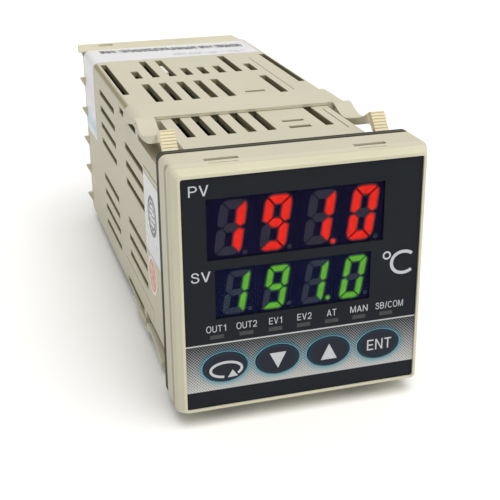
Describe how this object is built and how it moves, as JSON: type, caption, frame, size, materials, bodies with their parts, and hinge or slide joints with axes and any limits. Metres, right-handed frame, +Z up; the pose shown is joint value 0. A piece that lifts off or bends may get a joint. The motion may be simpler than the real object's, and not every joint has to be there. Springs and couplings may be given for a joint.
{
  "type": "pid temperature controller",
  "caption": "Panel-mounted square-fronted temperature controller: ventilated deep case, two digit rows, oval keys, draw-out chassis, rear screw terminals and clip-on brackets.",
  "frame": {"origin": "on the axis of the panel cut-out, in the plane where the gasket meets the front of the panel", "axes": "+X to the right of a person facing the front, +Y from the front towards the rear terminals, +Z up"},
  "size_m": [0.048, 0.111, 0.0518],
  "materials": {
    "case_plastic": "fine-textured cream moulded plastic",
    "frame_plastic": "smooth cream moulded plastic",
    "bracket_plastic": "smooth cream moulded plastic",
    "terminal_plastic": "cream moulded plastic",
    "gasket_rubber": "soft black rubber",
    "label_white": "satin white film label",
    "seal_paper": "printed paper sticker",
    "overlay_film": "printed polyester film",
    "window_film": "tinted clear film",
    "light_pipe": "smoked clear plastic",
    "digit_face": "dark face with diffusing segments",
    "led_chip": "clear epoxy",
    "key_top": "printed key top",
    "plunger": "black nylon",
    "switch_body": "black plastic with a steel cover",
    "circuit_board": "green solder mask",
    "black_epoxy": "moulded epoxy",
    "metal_can": "drawn steel can",
    "capacitor_sleeve": "shrink sleeve",
    "ferrite": "ground ferrite",
    "winding_tape": "yellow polyester tape",
    "relay_case": "blue moulded plastic",
    "white_nylon": "white nylon",
    "fuse_glass": "ceramic tube",
    "varistor_blue": "dipped epoxy",
    "contact_brass": "tin-flashed brass",
    "clamp_steel": "zinc-plated steel",
    "screw_steel": "zinc-plated steel"
  },
  "bodies": {
    "case": {"case_housing": "case_plastic", "panel_gasket": "gasket_rubber", "terminal_block": "terminal_plastic", "terminal_contacts": "contact_brass", "terminal_clamps": "clamp_steel", "terminal_screws": "screw_steel", "rating_label": "label_white", "side_label": "label_white", "inspection_seal": "seal_paper"},
    "chassis": {"front_frame": "frame_plastic", "frame_seal": "gasket_rubber", "front_overlay": "overlay_film", "display_windows": "window_film", "indicator_light_pipes": "light_pipe", "pv_digit_modules": "digit_face", "sv_digit_modules": "digit_face", "indicator_leds": "led_chip", "display_board": "circuit_board", "tact_switches": "switch_body", "main_board": "circuit_board", "output_board": "circuit_board", "power_board": "circuit_board", "board_headers": "black_epoxy", "microcontroller": "black_epoxy", "signal_chips": "black_epoxy", "crystal": "metal_can", "small_capacitors": "capacitor_sleeve", "bulk_capacitor": "capacitor_sleeve", "transformer_core": "ferrite", "transformer_winding": "winding_tape", "output_relays": "relay_case", "sensor_connector": "white_nylon", "power_fuse": "fuse_glass", "surge_varistor": "varistor_blue", "power_transistor": "black_epoxy", "bridge_rectifier": "black_epoxy", "optocouplers": "black_epoxy", "common_mode_choke": "ferrite"},
    "upper_bracket": {"upper_bracket": "bracket_plastic"},
    "lower_bracket": {"lower_bracket": "bracket_plastic"},
    "mode_key": {"mode_key": "key_top", "mode_plunger": "plunger"},
    "down_key": {"down_key": "key_top", "down_plunger": "plunger"},
    "up_key": {"up_key": "key_top", "up_plunger": "plunger"},
    "enter_key": {"enter_key": "key_top", "enter_plunger": "plunger"}
  },
  "joints": [
    {"name": "chassis_slide", "type": "slide", "parent": "case", "child": "chassis", "axis": [0, -1, 0], "range_m": [0, 0.105]},
    {"name": "upper_bracket_slide", "type": "slide", "parent": "case", "child": "upper_bracket", "axis": [0, 1, 0], "range_m": [-0.0028, 0.0007]},
    {"name": "lower_bracket_slide", "type": "slide", "parent": "case", "child": "lower_bracket", "axis": [0, 1, 0], "range_m": [-0.0028, 0.0007]},
    {"name": "mode_key_press", "type": "slide", "parent": "chassis", "child": "mode_key", "axis": [0, 1, 0], "range_m": [0, 0.00035], "stiffness_N_per_m": 3000, "springref_m": -0.0001},
    {"name": "down_key_press", "type": "slide", "parent": "chassis", "child": "down_key", "axis": [0, 1, 0], "range_m": [0, 0.00035], "stiffness_N_per_m": 3000, "springref_m": -0.0001},
    {"name": "up_key_press", "type": "slide", "parent": "chassis", "child": "up_key", "axis": [0, 1, 0], "range_m": [0, 0.00035], "stiffness_N_per_m": 3000, "springref_m": -0.0001},
    {"name": "enter_key_press", "type": "slide", "parent": "chassis", "child": "enter_key", "axis": [0, 1, 0], "range_m": [0, 0.00035], "stiffness_N_per_m": 3000, "springref_m": -0.0001}
  ]
}
